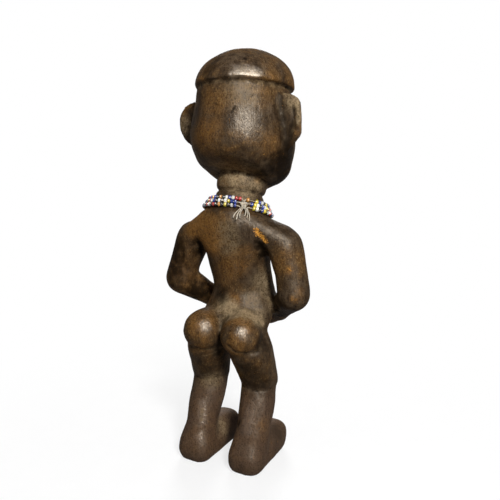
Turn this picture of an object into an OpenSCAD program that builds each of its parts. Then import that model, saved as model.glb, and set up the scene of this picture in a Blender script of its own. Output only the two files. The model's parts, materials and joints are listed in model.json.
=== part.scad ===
// Carved wooden fertility doll, standing, with a tied necklace of glass beads.
// The figure is cut from one block of wood. Three threads of beads go round the neck
// and are tied in one knot at the nape. Front is -Y, the figure's left is +X, soles on z = 0.

/* [Feet] */
// Length of a foot, heel to toes
foot_l = 63.5; // [52:0.5:70]
// Width of the heel
heel_w = 27; // [23:0.5:31]
// Height of the square part of the heel
heel_h = 20; // [17:0.5:23]
// Width of a foot across the toes
toe_w = 25; // [20:0.5:28]
// Height of the foot at its toes
toe_h = 24; // [19:0.5:26]
// Height of the instep, where the shin meets the foot
instep_h = 27; // [20:0.5:34]
// Distance between the middles of the two heels
stance = 42; // [38:0.5:50]
// How far both feet stand to the left of the middle
feet_left = 2; // [0:0.5:3]
// Angle that the left foot turns in
left_foot_turn = 3; // [0:0.5:6]
// Angle that the right foot turns in
right_foot_turn = -1; // [-4:0.5:6]

/* [Legs] */
// Height of the crease behind the knee
knee_h = 61; // [52:1:70]
// Height of the crotch
crotch_h = 87; // [80:1:92]
// Thickness of the thigh
thigh_d = 30; // [24:0.5:34]
// Thickness of the knee
knee_d = 27.5; // [21:0.5:30]
// Thickness of the calf
calf_d = 26; // [19:0.5:28]
// Thickness of the ankle
ankle_d = 23; // [17:0.5:25]

/* [Trunk] */
// Height of the middle of the buttocks
seat_h = 100; // [96:1:106]
// Diameter of each rounded buttock
seat_d = 29; // [24:0.5:33]
// Distance between the middles of the buttocks
seat_gap = 30; // [26:0.5:36]
// Height of the waist
waist_h = 128; // [122:1:138]
// Width of the waist
waist_w = 43; // [36:0.5:48]
// Depth of the belly at the waist
belly_d = 45; // [38:0.5:52]
// How much fuller the belly is on the right
belly_right = 3.6; // [0:0.2:5]
// Height of the middle of the shoulders
shoulder_h = 161; // [154:1:168]
// Width of the chest between the armpits
chest_w = 48; // [40:0.5:54]
// Depth of the chest
chest_d = 38; // [32:0.5:44]

/* [Arms] */
// Distance between the middles of the shoulders
shoulder_span = 73; // [64:1:80]
// How far both shoulders lie to the right of the middle
shoulders_right = 0.9; // [0:0.1:2]
// Thickness of the shoulder
shoulder_d = 26; // [22:0.5:30]
// Distance between the middles of the elbows
elbow_span = 92; // [84:1:100]
// How far both elbows lie to the left of the middle
elbows_left = 1.2; // [0:0.2:2.4]
// Height of the middle of the elbow
elbow_h = 130; // [124:1:136]
// How much lower the right elbow is
elbow_right_drop = 2; // [0:0.5:4]
// How far the upper arm bows out
arm_bow = 1.2; // [0:0.2:2.4]
// Thickness of the upper arm
arm_d = 22.5; // [18:0.5:25]
// Thickness of the elbow
elbow_d = 23.5; // [20:0.5:27]
// Thickness of the wrist
wrist_d = 16; // [13:0.5:19]
// Height of the hands on the belly
hand_h = 102; // [98:1:108]

/* [Neck] */
// Diameter of the neck
neck_d = 34.5; // [30:0.5:38]
// How far the neck stands to the left of the middle
neck_left = 1.2; // [0:0.2:2.4]
// Forward lean of the neck
neck_lean = 18; // [8:1:24]
// Height of the neck's axis at the middle row of beads
collar_h = 185.5; // [180:0.5:192]
// Depth of the groove cut round the neck
neck_groove = 2; // [0.6:0.2:2.6]
// How far the ring under the head stands out
neck_ring = 0.8; // [0.4:0.1:2]

/* [Head] */
// Width of the head without the ears
head_w = 72; // [62:1:80]
// Depth of the head, face to back
head_d = 78; // [68:1:88]
// Height of the underside of the chin
chin_h = 196; // [193:1:200]
// Height of the hair cap's rim at the sides of the head
rim_h = 269; // [260:1:276]
// Height of the dome of hair above its rim
cap_dome = 26; // [20:1:34]
// How far the hair cap stands proud of the head
cap_proud = 1.8; // [0.8:0.1:2.8]
// How far the hair cap sits to the right
cap_right = 1; // [0:0.1:2]
// Angle that the cap's rim dips to the left
rim_dip = 3; // [0:0.5:6]
// Height of the middle of the left ear
ear_left_h = 243; // [236:1:252]
// Height of the middle of the right ear
ear_right_h = 248; // [236:1:252]
// Height of an ear
ear_h = 34; // [26:1:40]
// How far the left ear stands out from the head
ear_left_out = 13.5; // [8:0.5:15]
// How far the right ear stands out from the head
ear_right_out = 11; // [8:0.5:15]
// Thickness of an ear
ear_t = 6; // [4:0.5:8]
// Angle that the top of an ear leans back
ear_lean = 7; // [4:1:16]
// How far the lobe runs down below the ear
ear_lobe = 5; // [2:0.5:8]

/* [Necklace] */
// Diameter of a bead
bead_d = 3.2; // [2.6:0.1:3.8]
// Length of a bead along its thread
bead_l = 2.1; // [1.6:0.1:2.6]
// Diameter of the hole through a bead
bead_bore = 1.1; // [0.9:0.1:1.4]
// Space between one bead and the next
bead_gap = 0.25; // [0.15:0.05:0.5]
// Diameter of the thread
thread_d = 0.6; // [0.4:0.05:0.7]
// Clearance between the necklace and the wood
seat_clear = 0.4; // [0.2:0.05:0.6]
// Clearance between one row of beads and the next
row_clear = 0.1; // [0.05:0.05:0.4]
// Radius of the upper row, from the neck's axis
row_r = 20.9; // [20.6:0.1:24]

/* [Hidden] */
ROWS = ["upper", "middle", "lower"];
COLOURS = ["white", "blue", "yellow", "red", "black", "amber"];
LETTERS = "WBYRKA";

// Front-to-back places of the carved forms
heel_y = 42;
ankle_y = 24;
calf_y = 16;
knee_y = 9.5;
thigh_y = 15;
hip_y = 11;
seat_y = 29.5;
waist_y = -3;
chest_y = 3;
shoulder_y = 7;
elbow_y = 7.5;
wrist_y = waist_y - belly_d/2 + 8.5;
collar_y = 2;
head_y = -4;
ear_y = 2.5;

heel_y_to_ankle = ankle_y - heel_y;

// The doll stands with the middle of its width and depth over the origin
mid_x = elbows_left;
face_y = head_y - head_d/2;
nose_out = 3;
back_y = seat_y + seat_d/2;
mid_y = (face_y - nose_out + back_y)/2;

wood = [0.27, 0.16, 0.09];
cotton = [0.86, 0.80, 0.66];
GLASS = [
    [0.90, 0.89, 0.84],
    [0.12, 0.26, 0.62],
    [0.93, 0.76, 0.20],
    [0.66, 0.10, 0.10],
    [0.05, 0.05, 0.06],
    [0.78, 0.45, 0.14]
];

// Value between b and c on a smooth curve through a, b, c and d
function between(a, b, c, d, t) =
    0.5*(2*b + (c - a)*t + (2*a - 5*b + 4*c - d)*t*t + (3*b - a - 3*c + d)*t*t*t);

// A list of stations with smooth steps put in between them
function smoothed(rows, steps) = concat(
    [for (i = [0:len(rows) - 2], k = [0:steps - 1])
        between(rows[max(i - 1, 0)], rows[i], rows[i + 1], rows[min(i + 2, len(rows) - 1)], k/steps)],
    [rows[len(rows) - 1]]
);

// Points round one station: [height, centre x, centre y, half width, half depth]
function station_ring(s, sides) = [
    for (i = [0:sides - 1])
        [s[1] + s[3]*cos(360*i/sides), s[2] + s[4]*sin(360*i/sides), s[0]]
];

// Side and end faces of a stack of rings, each with the same number of points
function stack_faces(rings, sides) = concat(
    [[for (i = [0:sides - 1]) i]],
    [for (r = [0:rings - 2], i = [0:sides - 1], half = [0, 1])
        let (
            a = r*sides + i,
            b = r*sides + (i + 1) % sides
        )
        half == 0 ? [a, a + sides, b] : [b, a + sides, b + sides]],
    [[for (i = [sides - 1:-1:0]) (rings - 1)*sides + i]]
);

// A rounded form carved through its stations, lowest first
module carved(stations, steps, sides) {
    rows = smoothed(stations, steps);
    polyhedron(
        [for (s = rows) each station_ring(s, sides)],
        stack_faces(len(rows), sides)
    );
}

// A limb between balls, each [place, diameter]
module limb(balls, facets) {
    for (i = [0:len(balls) - 2]) {
        hull() {
            translate(balls[i][0]) sphere(d = balls[i][1], $fn = facets);
            translate(balls[i + 1][0]) sphere(d = balls[i + 1][1], $fn = facets);
        }
    }
}

// Both sides of the figure from its left side
module both_sides() {
    children();
    mirror([1, 0, 0]) children();
}

// The neck's frame: its origin at the middle row of beads, its axis along the leaning neck
module on_neck() {
    translate([neck_left, collar_y, collar_h]) rotate([neck_lean, 0, 0]) children();
}

// Rows of beads lie one below the other down the flared root of the neck
root_slope = 31;
row_step = bead_d + row_clear;
step_r = row_step*sin(root_slope);
step_a = row_step*cos(root_slope);
function strand_r(row) = row_r + row*step_r;
function strand_a(row) = (1 - row)*step_a;
function root_r(a) = strand_r(1) - (bead_d/2 + seat_clear)/cos(root_slope) - a*tan(root_slope);
root_low = strand_a(2) - bead_d/2 - 1;

// The square heel, sunk a little into the ground
module heel() {
    corner = 9.5;
    sunk = 2.4;
    set_in = 1.8;
    for (side = [-1, 1], z = [corner - sunk, heel_h - corner]) {
        translate([side*(heel_w/2 - corner), -corner - set_in, z]) sphere(r = corner, $fn = 16);
    }
}

// One foot, a plain block from the heel at the origin to the toes at -Y, flat underneath
module foot() {
    corner = 10;
    sunk = 2.6;
    intersection() {
        union() {
            hull() {
                heel();
                translate([0, heel_y_to_ankle, instep_h]) sphere(d = ankle_d - 3, $fn = 16);
            }
            hull() {
                heel();
                translate([0, heel_y_to_ankle - 4, instep_h - ankle_d/2]) sphere(d = ankle_d, $fn = 16);
                for (side = [-1, 1]) {
                    translate([side*(toe_w/2 - corner), -foot_l + corner + 3, corner - sunk])
                        sphere(r = corner, $fn = 16);
                    translate([side*(toe_w/2 - corner), -foot_l + corner + 1, toe_h - corner - 2])
                        sphere(r = corner, $fn = 16);
                }
            }
        }
        translate([-heel_w, -2*foot_l, 0]) cube([2*heel_w, 3*foot_l, 2*instep_h]);
    }
}

// One leg: the shank stands in the foot, and the thigh ends in a ledge over the calf
module leg() {
    leg_x = stance/2;
    knee_x = leg_x - 1;
    hip_x = seat_gap/2 + 0.5;
    carved([
        [3, leg_x, ankle_y, ankle_d/2 - 1, ankle_d/2 - 1],
        [14, leg_x, ankle_y, ankle_d/2, ankle_d/2 + 0.6],
        [instep_h, leg_x + 0.2, ankle_y - 1.5, ankle_d/2 + 0.2, ankle_d/2 + 0.8],
        [(instep_h + knee_h)/2, leg_x - 0.3, calf_y, calf_d/2, calf_d/2 + 0.5],
        [knee_h - 3, knee_x, knee_y + 2, knee_d/2 - 1, knee_d/2 - 0.4],
        [knee_h + 6, knee_x, knee_y + 1, knee_d/2 - 2, knee_d/2 - 2]
    ], 2, 20);
    carved([
        [knee_h - 2, knee_x, knee_y + 0.8, knee_d/2 - 1, knee_d/2 - 0.4],
        [knee_h + 1, knee_x, knee_y + 1.2, knee_d/2 - 0.2, knee_d/2 + 0.8],
        [(knee_h + crotch_h)/2 + 2, (knee_x + hip_x)/2 + 0.7, thigh_y, thigh_d/2 - 0.3, thigh_d/2 + 1.6],
        [crotch_h + 3, hip_x + 1, thigh_y + 4, thigh_d/2, thigh_d/2 + 4],
        [seat_h + 3, hip_x - 2, thigh_y, thigh_d/2 - 5, thigh_d/2]
    ], 2, 20);
}

// Hips, belly, back and chest, up to the root of the neck
module trunk() {
    belly_half_w = waist_w/2 + 2.4 + belly_right/2;
    ribs_half_w = (waist_w + chest_w)/4;
    ribs_half_d = (belly_d + chest_d)/4;
    carved([
        [crotch_h, 0, thigh_y, seat_gap/2, thigh_d/3],
        [crotch_h + 5, 0, thigh_y - 1.5, seat_gap/2 + 6, thigh_d/2],
        [seat_h + 3, 0, hip_y, seat_gap/2 + 11.5, seat_d/2 + 3.5],
        [(seat_h + waist_h)/2 + 3, -belly_right/2, (hip_y + waist_y)/2 - 3, belly_half_w, belly_d/2],
        [waist_h, -belly_right/5, waist_y + 0.5, waist_w/2 + belly_right/5, belly_d/2 - 1],
        [(waist_h + shoulder_h)/2, 0, (waist_y + chest_y)/2 + 2.5, ribs_half_w, ribs_half_d],
        [shoulder_h - 8, 0, chest_y + 1.5, chest_w/2 + 0.5, chest_d/2 + 2],
        [shoulder_h - 1, 0, chest_y + 2.5, chest_w/2 + 6, chest_d/2 + 2],
        [shoulder_h + 5, 0, shoulder_y - 0.5, shoulder_span/2 - 1.5, chest_d/2 + 2],
        [shoulder_h + 12, 0, shoulder_y + 0.5, shoulder_span/2 - 8, chest_d/2 + 3.5],
        [shoulder_h + 20, 0, chest_y + 4, chest_w/2 - 2, chest_d/2 + 4.5]
    ], 2, 30);
    // Buttocks
    both_sides() hull() {
        translate([seat_gap/2, seat_y, seat_h]) sphere(d = seat_d, $fn = 24);
        translate([seat_gap/2 - 1, seat_y - 6, seat_h + 2.5]) sphere(d = seat_d - 3, $fn = 20);
    }
}

// Yoke of the shoulders, sloping from the root of the neck out to both arms
module yoke() {
    slim = 7;
    hull() {
        for (side = [-1, 1], shift = [-slim/2, slim/2]) {
            translate([
                side*(shoulder_span/2 - 1) - shoulders_right,
                shoulder_y + shift,
                shoulder_h + slim/2 - 0.3 - side*shoulders_right
            ]) sphere(d = shoulder_d - slim, $fn = 18);
        }
        on_neck() neck_root_rounding(2);
    }
}

// Rounding where the flared root of the neck turns into the back and shoulders
module neck_root_rounding(round_over) {
    rim_r = root_r(root_low);
    translate([0, 0, root_low - 2]) cylinder(r = rim_r, h = 2, $fn = 36);
    translate([0, 0, root_low - 3]) cylinder(r = rim_r + 0.7*round_over, h = 0.5, $fn = 36);
    translate([0, 0, root_low - 6]) cylinder(r = rim_r + round_over, h = 0.5, $fn = 36);
}

// One arm hangs from the shoulder, bends at the elbow, and its hand lies on the belly
module arm(side, drop) {
    shoulder = [shoulder_span/2 - side*shoulders_right, shoulder_y, shoulder_h];
    elbow = [elbow_span/2 + side*elbows_left, elbow_y, elbow_h - drop];
    upper_arm = shoulder*0.45 + elbow*0.55 + [arm_bow, 0, 0];
    wrist = [waist_w/2 + 1, wrist_y, hand_h + 5];
    forearm = elbow*0.45 + wrist*0.55;
    limb([
        [shoulder, shoulder_d],
        [upper_arm, arm_d],
        [elbow, elbow_d],
        [forearm, (elbow_d + wrist_d)/2 - 2.5],
        [wrist, wrist_d]
    ], 16);
    hand(wrist);
}

// One hand with four fingers and a thumb, laid flat on the belly
module hand(wrist) {
    belly_y = waist_y - belly_d/2 + 3;
    finger_d = 4.2;
    palm = [wrist[0] - 9, belly_y + 2, hand_h + 1];
    hull() {
        translate(wrist) sphere(d = wrist_d - 1, $fn = 16);
        translate(palm) scale([1, 0.7, 1.1]) sphere(d = wrist_d - 1, $fn = 16);
    }
    for (finger = [0:3]) {
        z = hand_h + 6.5 - finger*(finger_d - 0.3);
        tip_x = 1.8 + 0.7*abs(finger - 1);
        hull() {
            translate([palm[0] - 1, belly_y - 1, z]) sphere(d = finger_d + 0.3, $fn = 10);
            translate([tip_x, belly_y - 1.2, z - 1.6]) sphere(d = finger_d - 0.5, $fn = 10);
        }
    }
    hull() {
        translate([palm[0] + 1, belly_y, hand_h + 6]) sphere(d = finger_d + 0.6, $fn = 10);
        translate([palm[0] - 5, belly_y + 0.2, hand_h + 12]) sphere(d = finger_d - 0.3, $fn = 10);
    }
}

// Flared root of the neck, a groove, and the rounded ring under the head
neck_root_a = (root_r(0) - neck_d/2)/tan(root_slope);
neck_top = chin_h + 22 - collar_h;
module neck() {
    groove_a = neck_root_a + 4.8;
    on_neck() rotate_extrude($fn = 48) polygon([
        [0, root_low - 14],
        [root_r(root_low) - 4, root_low - 10],
        [root_r(root_low), root_low],
        [neck_d/2 + 0.2, neck_root_a],
        [neck_d/2 - 0.2, groove_a - 1.6],
        [neck_d/2 - neck_groove, groove_a],
        [neck_d/2 + neck_ring - 1.2, groove_a + 1],
        [neck_d/2 + neck_ring - 0.3, groove_a + 3],
        [neck_d/2 + neck_ring, groove_a + 6],
        [neck_d/2 + neck_ring - 0.3, groove_a + 9.5],
        [neck_d/2 - 0.6, groove_a + 12.5],
        [neck_d/2 - 1.6, neck_top],
        [0, neck_top]
    ]);
}

// Space round the root of the neck that the turning necklace needs
module necklace_room() {
    room_r = strand_r(2) + bead_d/2 + seat_clear;
    on_neck() rotate_extrude($fn = 48) polygon([
        [root_r(root_low) - 0.5, root_low],
        [room_r, root_low - 0.6],
        [room_r + 3, root_low + 3],
        [room_r + 16, root_low + 13],
        [neck_d/2 - 3, root_low + 13]
    ]);
}

// The hollow under the back of the head, above the ring of the neck
module nape_hollow() {
    middle_a = 19;
    extra_lean = 10;
    depth = 30;
    on_neck() translate([0, 0, middle_a]) rotate([extra_lean, 0, 0])
        translate([0, 0, -depth]) cylinder(d = head_d + 14, h = depth, $fn = 36);
}

// How far the head draws in under the cap of hair
cap_step = 3.8;

// The head, from the chin to the crown, with its ears, face and hair
module head() {
    half_w = head_w/2;
    half_d = head_d/2;
    jaw_left = 0.4;
    difference() {
        head_form(half_w, half_d, jaw_left);
        nape_hollow();
    }
    ear(1, ear_left_h, ear_left_out, 0.1*ear_h, 0);
    ear(-1, ear_right_h, ear_right_out, 0.55*ear_h, ear_lobe);
    face();
    hair_cap();
}

// The egg shape of the head, from the chin to under the hair
module head_form(half_w, half_d, jaw_left) {
    jaw_rise = 33;
    chin_forward = 13;
    chin_narrow = 27;
    chin_shallow = 30;
    // Each row of the jaw's curve: shares of its rise, its shift, and the chin's three set-ins
    jaw = [
        [0, 1, 1, 1, 1],
        [5/33, 1, 12/13, 15/27, 20.5/30],
        [10/33, 1, 9.3/13, 8.4/27, 15/30],
        [14/33, 1, 6/13, 4.8/27, 10.6/30],
        [19/33, 0.6, 2.6/13, 2.4/27, 6/30],
        [26/33, 0.2, 0.4/13, 0.6/27, 1.8/30],
        [1, 0, 0, 0, 0]
    ];
    carved([
        for (row = jaw) [
            chin_h + jaw_rise*row[0],
            jaw_left*row[1],
            head_y - chin_forward*row[2],
            half_w - chin_narrow*row[3],
            half_d - chin_shallow*row[4]
        ],
        [(chin_h + rim_h)/2 + 10, 0, head_y, half_w - 0.8, half_d - 0.2],
        [rim_h - 4, 0, head_y, half_w - cap_step, half_d - cap_step + 0.8],
        [rim_h + 10, 0, head_y, half_w - 9, half_d - 8]
    ], 2, 36);
}

// A plain cap of hair, cut with a step along its rim
module hair_cap() {
    cap_w = head_w/2 - cap_step + cap_proud;
    cap_d = head_d/2 - cap_step + 0.8 + cap_proud;
    rim_tilt = 9;
    cap_x = -cap_right;
    intersection() {
        carved(concat(
            [[rim_h - 16, cap_x, head_y, cap_w + 1, cap_d + 0.5]],
            [for (lift = [0:15:75])
                [rim_h + cap_dome*sin(lift), cap_x, head_y - 2*sin(lift), cap_w*cos(lift), cap_d*cos(lift)]],
            [[rim_h + cap_dome, cap_x, head_y - 2, 1.5, 1.5]]
        ), 2, 36);
        translate([0, head_y, rim_h - 1.5]) rotate([rim_tilt, rim_dip, 0])
            translate([-head_w, -head_d, 0]) cube([2*head_w, 2*head_d, 3*cap_dome]);
    }
}

// One ear, a flat slab with a rounded outer edge, straight for part of its height, with a lobe below
module ear(side, middle, out, straight, lobe) {
    root = head_w/2 - 4;
    translate([0, ear_y, middle]) rotate([-ear_lean, 0, 0]) hull() {
        for (lift = [-1, 1]) {
            translate([side*root, 0, lift*straight/2])
                scale([head_w/2 + out - root, ear_t/2, (ear_h - straight)/2]) sphere(r = 1, $fn = 22);
        }
        translate([side*root, 0, -ear_h/2 - lobe]) scale([4.6, ear_t/3, 2]) sphere(r = 1, $fn = 12);
    }
}

// A calm, plain carved face
module face() {
    eye_rise = 44;
    nose_rise = 27;
    mouth_rise = 17;
    mouth_w = 13;
    corner_in = 4.9;
    corner_d = 3;
    lip_in = 3.6;
    lip_d = 4;
    lip_part = 1.7;
    eye_h = chin_h + eye_rise;
    nose_h = chin_h + nose_rise;
    mouth_h = chin_h + mouth_rise;
    // Nose
    hull() {
        translate([0, face_y + 2.5, eye_h + 2]) sphere(d = 6, $fn = 14);
        translate([0, face_y - nose_out + 4, nose_h]) sphere(d = 8, $fn = 14);
        both_sides() translate([4, face_y + 2.5, nose_h]) sphere(d = 6, $fn = 14);
    }
    both_sides() {
        // Brow
        hull() {
            translate([4, face_y + 2, eye_h + 7]) sphere(d = 4.5, $fn = 12);
            translate([11, face_y + 3, eye_h + 8.5]) sphere(d = 5, $fn = 12);
            translate([19, face_y + 6.8, eye_h + 5.5]) sphere(d = 4, $fn = 12);
        }
        // Closed eye
        hull() {
            translate([7.5, face_y + 2.6, eye_h]) sphere(d = 4, $fn = 12);
            translate([12, face_y + 3.2, eye_h]) sphere(d = 6, $fn = 12);
            translate([17, face_y + 6, eye_h]) sphere(d = 4, $fn = 12);
        }
    }
    // Lips
    for (lip = [-1, 1]) {
        hull() both_sides() {
            translate([mouth_w/2, face_y + corner_in, mouth_h]) sphere(d = corner_d, $fn = 10);
            translate([lip_d/4, face_y + lip_in, mouth_h + lip*lip_part]) sphere(d = lip_d, $fn = 10);
        }
    }
}

// The whole figure, cut from one block
module carved_figure() {
    color(wood) translate([-mid_x, -mid_y, 0]) {
        both_sides() leg();
        translate([stance/2 + feet_left, heel_y, 0]) rotate([0, 0, -left_foot_turn]) foot();
        translate([feet_left - stance/2, heel_y, 0]) rotate([0, 0, right_foot_turn]) foot();
        difference() {
            union() {
                trunk();
                yoke();
                arm(1, 0);
                mirror([1, 0, 0]) arm(-1, elbow_right_drop);
            }
            necklace_room();
        }
        neck();
        head();
    }
}

// Places on the necklace: an angle from the nape towards the figure's right, a radius and a height
function on_ring(turn, r, a) = [-r*sin(turn), r*cos(turn), a];

// The knot lies to the right of the nape, over the two lower rows
knot_turn = 36;
knot_r = strand_r(1) + 2.2;
knot_a = -bead_d/2;
function beside_knot(along, r, a) = on_ring(knot_turn + along*180/(PI*r), r, a);

// Bare thread left and right of the knot, on each row
BARE = [[1.6, 1.6], [4.7, 4.7], [4.7, 6.4]];

// Bead colours of each row, from the right of the knot round the throat to its left. A dot is bare thread.
ORDER = [
    "A..YBWKYKBWRKAWBKYWBKRAWKBYKWABKRWYBKAWKBYWKRBABKAKWBWRR",
    "BYWKBWYKRWKBAKWYBKWRKYWBKAWKBYRKWBKAYWKBWRKYBKWAKBYRWBKWKWYBB",
    "YWKBYKWRKBWAKYBWKRYKBWKAWBYKWKBRWKYBKAWKBYWRKBWKYAKBWKRWKRKAKYKWB"
];
pitch = bead_l + bead_gap;
function bare_turn(row, end) = BARE[row][end]*180/(PI*strand_r(row));
function spots(row) = floor((2*PI*strand_r(row) - BARE[row][0] - BARE[row][1])/pitch);
function spot_turn(row, i) =
    knot_turn + bare_turn(row, 1)
    + (i + 0.5)*(360 - bare_turn(row, 0) - bare_turn(row, 1))/spots(row);
function spot_letter(row, i) =
    i < spots(row)/2 ? ORDER[row][i] : ORDER[row][len(ORDER[row]) - spots(row) + i];

// One glass bead, a pierced ball with flat ends, its hole along x
module bead() {
    difference() {
        intersection() {
            sphere(d = bead_d, $fn = 24);
            cube([bead_l, bead_d, bead_d], center = true);
        }
        rotate([0, 90, 0]) cylinder(d = bead_bore, h = 2*bead_l, center = true, $fn = 16);
    }
}

// The beads of one colour on one row
module strand_beads(row, colour) {
    color(GLASS[colour]) translate([-mid_x, -mid_y, 0]) on_neck()
        for (i = [0:spots(row) - 1]) {
            if (spot_letter(row, i) == LETTERS[colour]) {
                rotate([0, 0, spot_turn(row, i)])
                    translate([0, strand_r(row), strand_a(row)])
                    bead();
            }
        }
}

// Where each row's two ends go through the knot, and where they end on the back
PASS = [0.5, 1.4, 2.3];
TAIL_END = [[-1.8, 0.8], [-4.2, 2.8], [-6.6, 4.8]];
TAIL_L = [[7, 5.5], [8.5, 6.5], [7.5, 8]];
tail_top = strand_a(2) - 1.4;
tail_out = 0.22;
tail_r = strand_r(2) + 2.1;

// One loose end, from the knot down the back
function tail(row, end) =
    let (
        side = 2*end - 1,
        start = side*PASS[row],
        reach = TAIL_END[row][end] - start,
        length = TAIL_L[row][end]
    )
    [for (t = [0, 0.25, 0.5, 0.75, 1])
        beside_knot(start + reach*pow(t, 1.4), tail_r + tail_out*length*t, tail_top - length*t)];

// From the bead row into the knot, turning down
function into_knot(row, end) =
    let (
        side = 2*end - 1,
        along = side*PASS[row],
        r = strand_r(row),
        a = strand_a(row),
        bend = 0.8
    )
    [
        beside_knot(along + side*bend, r, a),
        beside_knot(along + side*bend*0.3, r + 0.1, a - bend*0.3),
        beside_knot(along, r + 0.3, a - bend),
        for (t = (row == 2 ? [] : row == 1 ? [0.5] : [0.3, 0.65]))
            beside_knot(along, r + 0.3 + (tail_r - r - 0.3)*t, a - bend + (tail_top - a + bend)*t)
    ];

// The route of one thread: up from one end, round the neck through the beads, and down to the other end
function backwards(list) = [for (i = [len(list) - 1:-1:0]) list[i]];
function thread_route(row) =
    let (
        steps = 56,
        first = knot_turn + (PASS[row] + 1.2)*180/(PI*strand_r(row)),
        last = knot_turn + 360 - (PASS[row] + 1.2)*180/(PI*strand_r(row))
    )
    concat(
        backwards(tail(row, 1)),
        backwards(into_knot(row, 1)),
        [for (i = [0:steps]) on_ring(first + (last - first)*i/steps, strand_r(row), strand_a(row))],
        into_knot(row, 0),
        tail(row, 0)
    );

// A round thread swept along a route, with a face kept towards the neck's axis
function unit(v) = v/norm(v);
function route_ring(route, i, sides) =
    let (
        ahead = unit(route[min(i + 1, len(route) - 1)] - route[max(i - 1, 0)]),
        outward = unit([route[i][0], route[i][1], 0]),
        across = unit(cross(ahead, outward)),
        up = cross(across, ahead)
    )
    [for (k = [0:sides - 1])
        route[i] + thread_d/2*(cos(360*k/sides)*across + sin(360*k/sides)*up)];
module thread(row) {
    sides = 8;
    route = thread_route(row);
    color(cotton) translate([-mid_x, -mid_y, 0]) on_neck() polyhedron(
        [for (i = [0:len(route) - 1]) each route_ring(route, i, sides)],
        stack_faces(len(route), sides)
    );
}

// The knot where all the ends are tied
module nape_knot() {
    color(cotton) translate([-mid_x, -mid_y, 0]) on_neck()
        rotate([0, 0, knot_turn]) translate([0, knot_r, knot_a]) scale([3, 2, 2.7]) sphere(r = 1, $fn = 24);
}

carved_figure();
nape_knot();
for (row = [0:2]) {
    thread(row);
    for (colour = [0:5]) {
        strand_beads(row, colour);
    }
}
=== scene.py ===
import json
import math
import random

import bmesh
import bpy
import numpy as np
from mathutils import Matrix, Vector, noise


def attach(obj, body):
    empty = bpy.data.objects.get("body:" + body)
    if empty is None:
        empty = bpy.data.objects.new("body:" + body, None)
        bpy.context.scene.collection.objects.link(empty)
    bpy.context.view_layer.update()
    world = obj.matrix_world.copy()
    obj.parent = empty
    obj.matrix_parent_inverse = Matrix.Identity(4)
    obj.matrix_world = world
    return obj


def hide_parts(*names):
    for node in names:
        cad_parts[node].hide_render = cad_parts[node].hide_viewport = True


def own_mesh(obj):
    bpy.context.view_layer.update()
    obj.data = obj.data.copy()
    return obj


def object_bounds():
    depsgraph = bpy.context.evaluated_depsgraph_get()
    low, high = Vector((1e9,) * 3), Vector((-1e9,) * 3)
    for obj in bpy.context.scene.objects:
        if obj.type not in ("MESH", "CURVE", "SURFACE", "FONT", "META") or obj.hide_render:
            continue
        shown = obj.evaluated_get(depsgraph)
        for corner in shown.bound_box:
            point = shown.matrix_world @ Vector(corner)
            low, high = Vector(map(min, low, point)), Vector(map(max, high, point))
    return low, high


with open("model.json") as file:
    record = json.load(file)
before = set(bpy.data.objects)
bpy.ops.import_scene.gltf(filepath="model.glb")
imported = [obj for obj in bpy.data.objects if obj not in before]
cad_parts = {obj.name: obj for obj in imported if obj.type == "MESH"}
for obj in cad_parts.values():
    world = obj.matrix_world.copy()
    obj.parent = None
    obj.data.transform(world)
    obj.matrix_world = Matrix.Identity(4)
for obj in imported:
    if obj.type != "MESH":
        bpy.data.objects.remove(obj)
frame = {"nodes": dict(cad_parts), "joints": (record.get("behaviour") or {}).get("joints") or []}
cad_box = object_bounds()

# The figure: head with its cap of hair, trunk, arms and legs, cut with adze and knife from one
# block of close brown wood, oiled and handled until it is dark and half glossy.
# It stands on its own two feet, and nothing is fixed to it.
skin_step = 0.00108
weld_gap = 2e-6
soft_passes = 23
broad_passes = 74
swell_passes = 33
relief_passes = 18
relief_height = 0.00042
tool_marks = [(62.0, 0.00036), (150.0, 0.00018), (330.0, 0.00007)]
sole_height = 0.0012
middle_plane = -0.0012
rim_middle, rim_rise, rim_dip, rim_centre = 0.2679, 0.158, 0.0524, -0.003
# Cuts and creases: the points of each line, its width and its depth
cut_lines = [
    ([(0.0215, 0.0369, 0.0893), (0.0136, 0.0403, 0.0895), (0.0055, 0.0332, 0.0878),
      (0.0022, 0.0277, 0.0880)], 0.0014, 0.0009),
    ([(-0.0135, 0.0441, 0.0965), (-0.0172, 0.0426, 0.0924), (-0.0236, 0.0387, 0.0908),
      (-0.0287, 0.0321, 0.0905), (-0.0306, 0.0251, 0.0926)], 0.0014, 0.0010),
    ([(0.0237, 0.0247, 0.0604), (0.0163, 0.0256, 0.0610), (0.0091, 0.0219, 0.0619),
      (0.0054, 0.0135, 0.0618)], 0.0013, 0.0006),
    ([(-0.0136, 0.0226, 0.0594), (-0.0205, 0.0252, 0.0591), (-0.0257, 0.0244, 0.0590),
      (-0.0309, 0.0206, 0.0593), (-0.0336, 0.0163, 0.0597)], 0.0013, 0.0007),
    ([(-0.0168, 0.0252, 0.2185), (-0.0200, 0.0210, 0.2163), (-0.0249, 0.0099, 0.2105)],
     0.0009, 0.0004),
    ([(-0.0427, 0.0066, 0.2560), (-0.0436, 0.0060, 0.2490), (-0.0428, 0.0055, 0.2420),
      (-0.0400, 0.0046, 0.2345)], 0.0014, 0.0009),
    ([(-0.0250, 0.0248, 0.1733), (-0.0280, 0.0237, 0.1694)], 0.0016, 0.0006),
    ([(-0.0280, 0.0236, 0.1687), (-0.0313, 0.0226, 0.1667)], 0.0015, 0.0005),
    ([(-0.0149, 0.0306, 0.0364), (-0.0134, 0.0300, 0.0320)], 0.0009, 0.0005),
    ([(0.0240, 0.0199, 0.1595), (0.0232, 0.0172, 0.1562)], 0.0038, 0.0022),
    ([(-0.0257, 0.0204, 0.1618), (-0.0270, 0.0167, 0.1570)], 0.0038, 0.0022),
]
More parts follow.
